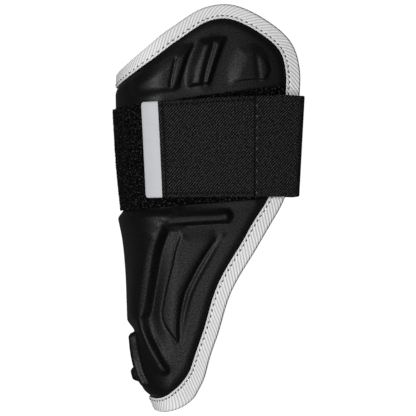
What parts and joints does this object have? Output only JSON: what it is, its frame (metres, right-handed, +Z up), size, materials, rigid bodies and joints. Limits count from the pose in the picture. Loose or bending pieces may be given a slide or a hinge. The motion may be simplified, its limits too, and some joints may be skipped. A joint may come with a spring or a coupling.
{
  "type": "batter's elbow guard",
  "caption": "Moulded foam elbow guard: an open trough for the bent arm with raised blocks, a bound edge and a wide elastic strap that closes over a plush loop panel.",
  "frame": {"origin": "under the middle of the guard's box, on the surface that it lies on", "axes": "+Y along the arm to the shoulder end, +X to the open side that the strap closes, +Z up from the far flank that it lies on to the near flank with the strap's tab"},
  "size_m": [0.1248, 0.2626, 0.1028],
  "materials": {
    "pad_fabric": "smooth black knit over moulded foam",
    "binding_tape": "white twill tape",
    "loop_plush": "black brushed loop",
    "hook_tape": "black hook tape",
    "elastic": "black twill-woven elastic",
    "tab_rubber": "pale grey matte rubber"
  },
  "bodies": {
    "root": {"moulded_pad": "pad_fabric", "edge_binding": "binding_tape", "loop_panel": "loop_plush", "hook_patch": "hook_tape", "strap": "elastic", "pull_tab": "tab_rubber"}
  },
  "joints": []
}
